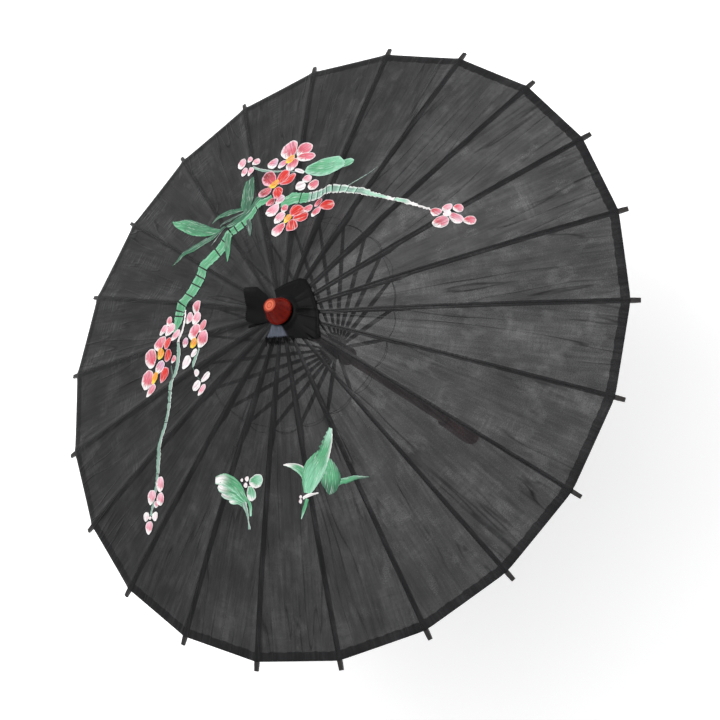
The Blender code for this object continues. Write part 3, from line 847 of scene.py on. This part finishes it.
# jointed stems: look, length of each gap, (a, b, width) along the stem, places of its joints as (a, b)
STEMS = [
    ("cane", 1.6, [
        (-50, 195, 9), (-64, 188, 11), (-77, 180, 12), (-89, 169, 13), (-102, 160, 15), (-114, 151, 17),
        (-122, 142, 19), (-132, 134, 21), (-144, 124, 21), (-151, 114, 21), (-158, 105, 21), (-165, 95, 21),
        (-172, 85, 21), (-179, 75, 20), (-185, 69, 20), (-190, 61, 19), (-193, 52, 17), (-197, 42, 13),
        (-198, 34, 5),
    ], [
        (-71, 184), (-93, 166), (-102, 160), (-108, 156), (-119, 145), (-132, 134), (-151, 114), (-158, 105),
        (-165, 95), (-174, 82), (-184, 70), (-189, 63), (-192, 57),
    ]),
    ("cane", 1.2, [(-31, 177, 13), (-18, 178, 20), (-3, 177, 17), (10, 176, 15)], [(-2, 177)]),
    ("grey_cane", 1.2, [
        (10, 176, 15), (24, 176, 15), (36, 177, 14), (48, 178, 13), (60, 176, 12), (70, 172, 10),
        (83, 166, 10), (99, 158, 9),
    ], [
        (14, 176), (23, 176), (31, 176), (38, 177), (46, 178), (55, 177), (66, 174), (80, 168),
    ]),
    ("white_cane", 0.8, [
        (99, 158, 7), (117, 150, 5), (134, 141, 5), (146, 136, 6), (158, 130, 4),
    ], [
        (134, 141),
    ]),
    ("white_stem", 0.5, [(157, 130, 4), (169, 124, 3), (182, 117, 2)], []),
    ("white_stem", 0.5, [(-178, 60, 2), (-180, 48, 3.5), (-182, 36, 4.5), (-184, 24, 5), (-185, 13, 4)], []),
    ("pale_stem", 1.2, [
        (-185, 15, 5), (-186, 4, 7), (-188, -9, 7), (-191, -23, 7), (-194, -34, 7), (-199, -48, 6),
        (-203, -66, 5.5), (-209, -86, 5.5), (-217, -109, 6), (-225, -137, 6), (-230, -158, 4.5),
        (-238, -186, 4), (-244, -201, 4),
    ], [
        (-195, -32), (-200, -48), (-204, -61), (-209, -87), (-226, -150),
    ]),
]

# each group is painted over the one before it. A stroke is (look, [(a, b, width), ...])
STROKE_GROUPS = [
    [
        ("deep", [(-60, 205, 8), (-88, 183, 13), (-107, 172, 12), (-119, 168, 3)]),
        ("deep", [(-98, 193, 6), (-112, 193, 8), (-128, 193, 9), (-151, 186, 1)]),
        ("faint", [(-96, 186, 3), (-107, 183, 4), (-119, 179, 5), (-132, 173, 2)]),
        ("deep", [(-123, 170, 2), (-142, 164, 6), (-160, 161, 9), (-179, 156, 11), (-193, 152, 8),
          (-219, 142, 0.5)]),
        ("thread", [(-120, 168, 2), (-134, 161, 2), (-148, 150, 1)]),
        ("grass", [(-133, 168, 3), (-155, 175, 13), (-182, 189, 20), (-208, 205, 18), (-226, 214, 9),
          (-236, 221, 1)]),
        ("grass", [(-112, 155, 10), (-113, 142, 14), (-112, 127, 9), (-111, 112, 1)]),
        ("faint", [(-86, 171, 7), (-82, 161, 8), (-79, 152, 7), (-76, 140, 1)]),
        ("deep", [(-92, 186, 8), (-93, 200, 22), (-93, 213, 25), (-95, 228, 23), (-95, 240, 18)]),
    ],
    [
        ("pale_stem", [(66, 180, 1.2), (84, 187, 1.2), (107, 197, 0.6)]),
        ("pale_stem", [(-93, 259, 3), (-80, 251, 4), (-63, 243, 4), (-42, 235, 2), (-19, 226, 1),
          (0, 221, 2)]),
    ],
    [
        ("pale_stem", [(-147, -4, 3), (-153, -14, 6), (-155, -22, 7), (-154, -29, 3)]),
        ("thread", [(-154, -29, 1.4), (-148, -43, 1), (-141, -49, 1)]),
        ("faint", [(-196, -36, 3), (-198, -24, 3), (-202, -12, 2)]),
    ],
    [
        ("wing", [(-84, -218, 3), (-92, -211, 7), (-100, -209, 9), (-105, -207, 6)]),
        ("wing", [(-83, -216, 4), (-95, -204, 11), (-107, -201, 12), (-114, -197, 8)]),
        ("wing", [(-81, -214, 4), (-98, -198, 14), (-114, -191, 13), (-121, -186, 8)]),
        ("wing", [(-80, -212, 5), (-93, -193, 15), (-110, -182, 15), (-126, -179, 9)]),
        ("leaf", [(-79, -208, 4), (-75, -219, 5), (-76, -231, 3)]),
        ("pale_stem", [(-84, -214, 8), (-81, -226, 4), (-80, -236, 2), (-80, -246, 4)]),
        ("tail", [(48, -212, 7), (56, -210, 6.5), (66, -210, 6.5), (76, -209, 5.5), (83, -209, 3),
          (92, -209, 1)]),
        ("side", [(9, -203, 4), (8, -193, 11), (0, -186, 9), (-11, -181, 5), (-20, -179, 1)]),
        ("lobe", [(40, -179, 5), (43, -192, 19), (43, -204, 28), (41, -215, 19), (38, -222, 3)]),
        ("feather", [(28, -188, 10), (32, -181, 20), (39, -170, 19), (47, -157, 13), (52, -148, 5)]),
        ("belly", [(11, -218, 10), (15, -207, 20), (21, -195, 25), (29, -184, 24), (36, -175, 16)]),
        ("white_stem", [(3, -222, 3), (11, -221, 4), (18, -220, 3), (25, -219, 1)]),
        ("leaf", [(10, -224, 6), (5, -232, 6), (0, -239, 4), (-3, -245, 1)]),
    ],
]

# a dab is (look, a, b, length, width, direction of its wide end in degrees)
DAB_GROUPS = [
    [("leaf", 60, 217, 20, 11, 28), ("leaf", 28, 221, 61, 30, -9)],
    [
        ("pale", -118, 276, 16, 18, 39), ("pale", -101, 275, 9, 11, 45), ("pale", -89, 267, 12, 12, 35),
        ("pale", -110, 259, 13, 14, 32), ("pale", -96, 253, 13, 13, 54), ("mauve", -60, 255, 18, 17, -19),
    ],
    [
        ("rose", -10, 261, 24, 22, 41), ("rose", -5, 247, 27, 15, -7), ("mauve", -42, 247, 15, 12, -165),
        ("pink", -34, 268, 34, 27, 109), ("pink", -24, 240, 20, 21, -87), ("yellow", -30, 251, 15, 12, 29),
    ],
    [
        ("white", -10, 224, 17, 6, -31), ("dark", -60, 228, 32, 20, 123), ("dark", -62, 206, 19, 15, -152),
        ("red", -26, 215, 26, 15, 14), ("red", -37, 223, 24, 20, 52), ("red", -41, 199, 23, 16, -56),
        ("yellow", -50, 216, 16, 12, 17),
    ],
    [("pale", 3, 208, 13, 13, 14), ("white", -4, 197, 13, 16, 19), ("rose", 14, 195, 16, 17, 22)],
    [
        ("dark", -50, 186, 14, 12, 32), ("mauve", -34, 184, 16, 14, 22), ("rose", -23, 166, 11, 13, 25),
        ("pale", -43, 170, 21, 20, 30), ("pale", -29, 153, 19, 17, 26), ("pink", -27, 134, 22, 18, -148),
        ("red", 5, 145, 20, 15, 11), ("red", -6, 133, 19, 16, -75), ("red", -3, 156, 19, 19, 43),
        ("yellow", -14, 146, 13, 12, 50),
    ],
    [
        ("dark", 28, 161, 14, 11, 23), ("rose", 12, 157, 14, 11, 8), ("rose", 27, 146, 16, 14, 17),
        ("red", 42, 153, 19, 15, 3),
    ],
    [
        ("pink", -155, 56, 19, 15, 71), ("pale", -170, 46, 16, 13, 55), ("pale", -156, 41, 18, 16, 36),
        ("rose", -142, 25, 19, 12, 71), ("pink", -156, 21, 25, 20, 100), ("pink", -139, 6, 24, 18, 47),
        ("yellow", -156, 5, 15, 10, 29), ("mauve", -171, 10, 13, 10, 48), ("white", -170, -17, 19, 16, 56),
        ("white", -156, -8, 13, 9, 32), ("white", -148, -38, 9, 8, 50), ("white", -133, -47, 18, 9, 25),
        ("white", -150, -54, 16, 12, 27), ("pale", -139, -63, 17, 12, 41),
    ],
    [
        ("pink", -212, 55, 13, 11, 77), ("pale", -222, 45, 17, 12, 46), ("pale", -208, 41, 20, 16, 44),
        ("pale", -194, 28, 18, 14, 50), ("pink", -196, -5, 11, 8, 43), ("red", -207, 20, 17, 13, 74),
        ("red", -207, 3, 17, 13, 60), ("rose", -223, 24, 22, 22, 86), ("rose", -241, 8, 26, 23, 95),
        ("yellow", -221, 9, 15, 12, 47),
    ],
    [
        ("red", -215, -21, 22, 16, 60), ("mauve", -224, -8, 20, 15, 32), ("rose", -249, -19, 27, 23, 70),
        ("pink", -239, -37, 20, 16, 55), ("yellow", -234, -20, 17, 10, 60),
    ],
    [
        ("pale", -224, -165, 20, 14, 88), ("pale", -232, -189, 9, 9, 90), ("pale", -224, -184, 17, 14, 90),
        ("pale", -241, -178, 19, 15, 71), ("white", -252, -201, 12, 11, 82),
        ("white", -235, -204, 12, 11, 97), ("white", -245, -204, 6, 4, -4), ("pale", -247, -216, 17, 14, 80),
    ],
    [
        ("rose", 229, 94, 16, 12, -17), ("pink", 188, 112, 17, 12, -37), ("pink", 195, 96, 20, 15, 17),
        ("pink", 216, 112, 13, 11, -22), ("pale", 202, 115, 14, 13, 5), ("pale", 213, 99, 20, 12, -37),
        ("white", 203, 106, 10, 8, 4),
    ],
    [
        ("wing", -71, -205, 18, 13, -84), ("wing", -61, -192, 22, 16, 3), ("white", -75, -187, 6, 6, 0),
        ("white", -83, -187, 4, 4, 0), ("white", -78, -194, 6, 6, 0), ("white", 0, -220, 4, 4, 0),
        ("white", -1, -225, 5, 5, 0),
    ],
]


def add_painting():
    painting = Painting()
    for look, gap, points, joints in STEMS:
        line, length = along_curve(points, 240)
        step = length / (len(line) - 1)
        for _ in range(40):
            line[1:-1] = (line[:-2] + line[1:-1] + line[2:]) / 3
        skip = max(1, round(gap / step))
        cuts = [int(np.argmin(np.hypot(line[:, 0] - a, line[:, 1] - b))) for a, b in joints]
        starts = [0] + [cut + skip for cut in cuts]
        for start, end in zip(starts, cuts + [len(line) - 1]):
            piece = line[start : end + 1]
            apart = max(2, len(piece) // 6)
            painting.stroke([*piece[:-1:apart], piece[-1]], STROKES[look], 2, ragged=0.8)
    for group in STROKE_GROUPS:
        for layer, (look, points) in enumerate(group):
            notches = 7 if look == "feather" else 0
            painting.stroke(points, STROKES[look], 0.5 * layer, notches=notches)
    for group in DAB_GROUPS:
        for layer, (look, *shape) in enumerate(group):
            painting.dab(*shape, DABS[look], 6 + layer)
    pieces = {}
    for number, mesh in cut_by_ribs(painting.bm, "painting", lay_on_cloth).items():
        pieces[number] = add_on_rib("painting", number, mesh, paint)
    return pieces


# neck cloth

# lower and upper side of the left flap from the shaft outwards, as (a, b, lift) in millimetres
LEFT_FLAP_LOW = [(-5, -9, 1), (-24, -7, 1.5), (-34, -6, 2), (-42, -4, 2.5), (-50, 0, 3), (-57, 4, 3.5)]
LEFT_FLAP_HIGH = [(-7, 9, 1), (-27, 34, 2), (-35, 41, 2.5), (-43, 49, 3), (-55, 52, 4), (-66, 54.5, 5)]
# edge of the right flap, clockwise from its upper left corner
RIGHT_FLAP_EDGE = [
    (-14, 36, 1.5), (-1, 41, 1.5), (13, 44, 1.5), (22, 44.5, 2), (31, 40, 2.5), (36, 32, 3), (41, 22, 3),
    (46, 8, 3), (50, -8, 3), (50.5, -24, 2.5), (48, -40, 2.5), (34, -38, 2), (20, -36, 1.5), (8, -33, 1.5),
    (-2, -31, 1.5), (-12, -29.5, 1.5), (-24, -27.5, 1.5),
]
# creases of the right flap: (place along its edge, start and end as shares outwards, width, height in mm)
FLAP_CREASES = [
    (0.17, 0.35, 0.95, 0.02, -0.4), (0.27, 0.25, 0.8, 0.016, 0.7), (0.34, 0.2, 0.9, 0.014, 0.6),
    (0.42, 0.15, 0.85, 0.010, 1.3), (0.45, 0.15, 0.8, 0.012, -1.4), (0.49, 0.2, 0.95, 0.010, 0.7),
    (0.60, 0.4, 1.0, 0.02, -0.3), (0.84, 0.2, 1.0, 0.014, 0.5),
]
YARN_ROWS = 8
YARN_WIDTH = 0.7
TAPE_WIDTH = 2.4
SATIN_BLACK = rgb(0.028, 0.028, 0.034)
SATIN_DARK = rgb(0.012, 0.012, 0.016)
# painted highlight on the black satin
SATIN_PAINTED_HIGHLIGHT = rgb(0.30, 0.32, 0.36)


def lay_neck_cloth(points, lift):
    """Lays points of the neck cloth flat on the head, and further out on the canopy."""
    radius = np.linalg.norm(points, axis=1)
    s = s_at_radius(radius, CLOTH_LIFT)
    height = from_rib_frame(s, rib_top(s) + CLOTH_LIFT)[1] + lift
    out = smooth_step(COLLAR_RADIUS, 1.5 * COLLAR_RADIUS, radius)
    height = COLLAR_HEIGHT + (height - COLLAR_HEIGHT) * out
    return np.concatenate([points, height[:, None]], axis=1)


def flat_map(places, flap):
    """Texture coordinates of a flap pressed flat, apart from those of the other flap."""
    return np.insert(places[..., :2] * MM, 2, flap, axis=-1)


def left_flap(bm):
    rows, columns = 26, 110
    low, high = (np.array(side, float) for side in (LEFT_FLAP_LOW, LEFT_FLAP_HIGH))
    knots = np.linspace(0, 1, len(low))
    t, w = np.linspace(0, 1, rows)[:, None], np.linspace(0, 1, columns)[None]
    low = np.stack([np.interp(t[:, 0], knots, column) for column in low.T], axis=1)
    high = np.stack([np.interp(t[:, 0], knots, column) for column in high.T], axis=1)
    grid = low[:, None] * (1 - w[..., None]) + high[:, None] * w[..., None]
    teeth = np.abs(np.mod(w * 17, 1) - 0.5) * 3.4
    grid[..., 0] += (teeth + 1.2 * np.sin(3 * w)) * smooth_step(0.93, 1.0, t)
    lift = grid[..., 2] + (1.6 * np.sin(8.5 * w + 1.5) + 0.5 * np.sin(19 * w - 2 * t)) * t
    # painted shade: the satin's colour darkens and lightens in bands across the flap, as light would on its
    # folds
    shade = 0.5 + 0.5 * np.sin(7 * w + 2 * t)
    colours = SATIN_DARK + (SATIN_BLACK - SATIN_DARK) * shade[..., None]
    add_grid(bm, grid[..., :2], lift * MM, colours, flat_map(grid, 0))


def right_flap(bm):
    rows, columns = 26, 150
    edge, _ = along_curve(RIGHT_FLAP_EDGE, columns)
    edge[:, :2] += np.random.default_rng(8).uniform(-0.35, 0.35, (columns, 2))
    turn = np.radians(np.linspace(115, -145, columns))
    inner = np.stack([9 * np.cos(turn), 9 * np.sin(turn), np.ones(columns)], axis=1)
    t = np.linspace(0, 1, rows)[:, None, None]
    grid = inner * (1 - t) + edge * t
    t, w = t[..., 0], np.linspace(0, 1, columns)[None]
    lift = grid[..., 2]
    for place, start, end, width, height in FLAP_CREASES:
        reach = smooth_step(start, start + 0.25, t) * (1 - 0.6 * smooth_step(end - 0.2, end, t))
        lift = lift + height * reach * np.exp(-np.abs((w - place - 0.03 * t) / width) * 1.3)
    hem = smooth_step(0.9, 0.93, t) * (1 - smooth_step(0.97, 1.0, t)) * (1 - smooth_step(0.62, 0.66, w))
    lift = lift + 0.7 * hem
    # a lighter patch near the lower left end of the edge is a painted highlight, where the satin catches the
    # light
    patch = smooth_step(0.83, 0.86, w) * smooth_step(0.3, 0.4, t) * (1 - smooth_step(0.93, 1.0, t))
    colours = SATIN_BLACK + (SATIN_DARK - SATIN_BLACK) * hem[..., None]
    colours = colours + (SATIN_PAINTED_HIGHLIGHT - colours) * patch[..., None]
    add_grid(bm, grid[..., :2], lift * MM, colours, flat_map(grid, 1))


def frayed_edge(bm):
    """Loose yarns along the lower edge, and the narrow tape at the lower left."""
    rng = np.random.default_rng(3)
    yarns = []
    for a in np.linspace(-25, 16, 58):
        long = 13 - 0.16 * (a + 25)
        length = rng.uniform(0.35, 1.0) * long
        top = -27 - 0.17 * (a + 24)
        lean = rng.uniform(-0.35, 0.35)
        middle, end = (a + 0.4 * lean * length, top - length / 2), (a + lean * length, top - length)
        yarns.append(([(a, top + 1.5), middle, end], YARN_WIDTH))
    for b in (-3.5, -5.0):
        yarns.append(([(-21, b), (-38, b - 0.5), (-54, b + 0.3)], TAPE_WIDTH))
    for points, width in yarns:
        line, _ = along_curve([(a, b, width) for a, b in points], YARN_ROWS)
        side = side_of(line)
        places = line[:, None, :2] + side[:, None] * (np.array([-0.5, 0, 0.5]) * width)[None, :, None]
        lifts = np.full(places.shape[:2], rng.uniform(0.6, 2.4) * MM)
        colours = np.broadcast_to(SATIN_DARK * rng.uniform(0.5, 1.2), (*places.shape[:2], 3))
        add_grid(bm, places, lifts, colours, flat_map(places, 0))


def add_neck_cloth():
    bm = new_plan()
    left_flap(bm)
    right_flap(bm)
    frayed_edge(bm)
    for number, mesh in sorted(cut_by_ribs(bm, "neck_cloth", lay_neck_cloth).items()):
        if number:
            ob = add_on_rib("neck_cloth", number, mesh, satin, "cap_cloth")
        else:
            ob = add_piece("neck_cloth_00", mesh, satin, "frame", "cap_cloth")


# wooden pieces and threads


def fibre_frame(number, slope):
    """Origin, direction along the fibres and direction across them, for a strip in a rib's plane."""
    out, across = rib_axes(number)
    along = cos(slope) * out + sin(slope) * np.array([0, 0, 1])
    return np.array([0, 0, HINGE_HEIGHT]) + 0.13 * number * across, along, across


def add_wood():
    stretcher_slope = atan2(PIVOT_HEIGHT - RUNNER_HINGE_HEIGHT, PIVOT_RADIUS - HINGE_RADIUS)
    for number in range(1, RIBS + 1):
        for kind, slope in (("rib", -RIB_SLOPE), ("stretcher", stretcher_slope)):
            name = f"{kind}_{number:02d}"
            mesh = eased_copy(name, BAMBOO_EDGE, fibre_frame(number, slope))
            add_piece(name + "_bamboo", mesh, bamboo, name, name)
    for name, body in (("head", "frame"), ("runner", "runner")):
        add_piece(name + "_wood", eased_copy(name, HUB_EDGE), hub_wood, body, name)
    for name, profile, material in (("finial", FINIAL, lacquer), ("handle", HANDLE, handle_lacquer)):
        add_piece(name + "_lacquered", lathe(name, profile), material, "frame", name)


def add_threads():
    """The ring of thread through the ribs at the stretchers' pivots, two strands sagging in each gap."""
    for number in range(1, RIBS + 1):
        lines = []
        for sign, gap in ((-1, number - 1 or RIBS), (1, number)):
            rng = np.random.default_rng(90 + gap)
            for strand in (0, 1):
                bow = rng.uniform(-2, 7) * MM + strand * 3 * MM
                sag = rng.uniform(1, 5) * MM
                half = np.linspace(0, 0.5, 12)
                share = 1 - half if sign < 0 else half
                arch = 4 * share * (1 - share)
                height = PIVOT_HEIGHT - sag * arch + (strand - 0.5) * 2 * THREAD_THICKNESS
                lines.append(between_ribs(gap, share, PIVOT_RADIUS + bow * arch, height))
        mesh = tube(f"thread_{number:02d}", lines, THREAD_THICKNESS)
        add_on_rib("thread", number, mesh, thread, "pivot_thread")


# camera, light and floor

LENS = 76.09
CAMERA_PLACE = (-0.5255, -1.0797, 1.9475)
CAMERA_RIGHT = (0.19644, -0.84284, -0.50102)
CAMERA_UP = (0.94427, 0.02497, 0.32822)
CAMERA_BACK = (-0.26413, -0.53758, 0.80078)
# round lights: place, diameter in metres and power in watts
LIGHTS = {"key": ((0.9, 1.1, 3.0), 2.2, 24), "sheen": ((0.75, 0.3, 3.3), 0.7, 28)}
LIT_PLACE = (0, 0, 0.45)
FLOOR_REACH = 30
FLOOR_GLOW = 0.38
# strength of the surrounding white light, from below and from above
LIGHT_BELOW = 0.72
LIGHT_ABOVE = 0.95


def add_camera():
    data = bpy.data.cameras.new("camera")
    data.lens = LENS
    data.sensor_width = 36
    camera = new_object("camera", data)
    turn = Matrix((CAMERA_RIGHT, CAMERA_UP, CAMERA_BACK)).transposed()
    camera.matrix_world = Matrix.Translation(CAMERA_PLACE) @ turn.to_4x4()
    bpy.context.scene.camera = camera


def add_lights():
    for name, (place, size, power) in LIGHTS.items():
        data = bpy.data.lights.new(name, "AREA")
        data.shape = "DISK"
        data.size = size
        data.energy = power
        light = new_object(name, data)
        light.location = place
        light.rotation_mode = "QUATERNION"
        light.rotation_quaternion = (Vector(LIT_PLACE) - Vector(place)).to_track_quat("-Z", "Y")


def add_stage():
    floor = bpy.data.meshes.new("floor")
    r = FLOOR_REACH
    floor.from_pydata([(-r, -r, 0), (r, -r, 0), (r, r, 0), (-r, r, 0)], [], [(0, 1, 2, 3)])
    m = Material("white_floor", 0.8, Specular_IOR_Level=0.1)
    paper = m.noise((3, 3, 3), 2, source="Object")
    m.join(m.ramp(paper, [(0.2, (0.95, 0.95, 0.955)), (0.8, (0.97, 0.97, 0.97))]), "Base Color")
    m.shader.inputs["Emission Color"].default_value = (1, 1, 1, 1)
    m.shader.inputs["Emission Strength"].default_value = FLOOR_GLOW
    floor.materials.append(m.material)
    new_object("floor", floor)
    world = bpy.data.worlds.new("studio")
    world.use_nodes = True
    sky = NodeTree(world.node_tree)
    height = sky.node("SeparateXYZ", {0: sky.place((1, 1, 1), "Generated")}).outputs["Z"]
    background = sky.tree.nodes["Background"]
    background.inputs["Color"].default_value = (1, 1, 1, 1)
    sky.tree.links.new(sky.range(height, LIGHT_BELOW, LIGHT_ABOVE), background.inputs["Strength"])
    bpy.context.scene.world = world
    bpy.context.scene.view_settings.view_transform = "Standard"


cloth = make_cloth()
satin = make_satin()
paint = make_paint()
bamboo = make_bamboo()
hub_stops = [(0.3, (0.16, 0.08, 0.05)), (0.55, (0.30, 0.16, 0.10)), (0.75, (0.40, 0.24, 0.15))]
hub_wood = make_wood("stained_hub_wood", hub_stops, 0.4)
shaft_stops = [(0.3, (0.20, 0.09, 0.06)), (0.55, (0.36, 0.18, 0.11)), (0.75, (0.46, 0.26, 0.17))]
shaft_wood = make_wood("stained_shaft_wood", shaft_stops, 0.35)
lacquer = make_lacquer("finial_lacquer", FINIAL_TOP * MM)
handle_lacquer = make_lacquer("handle_lacquer", NO_BARE_END)
thread = make_thread()
steel = make_steel()

add_camera()
add_stage()
add_lights()
panels, panel_flat, panel_area = add_canopy()
paintings = add_painting()

add_neck_cloth()
add_wood()
add_threads()
kept = {"shaft": shaft_wood, "catch": steel, "head_pin": steel, "head_thread": thread, "runner_thread": thread}
for name, material in kept.items():
    use_material(nodes[name], material)
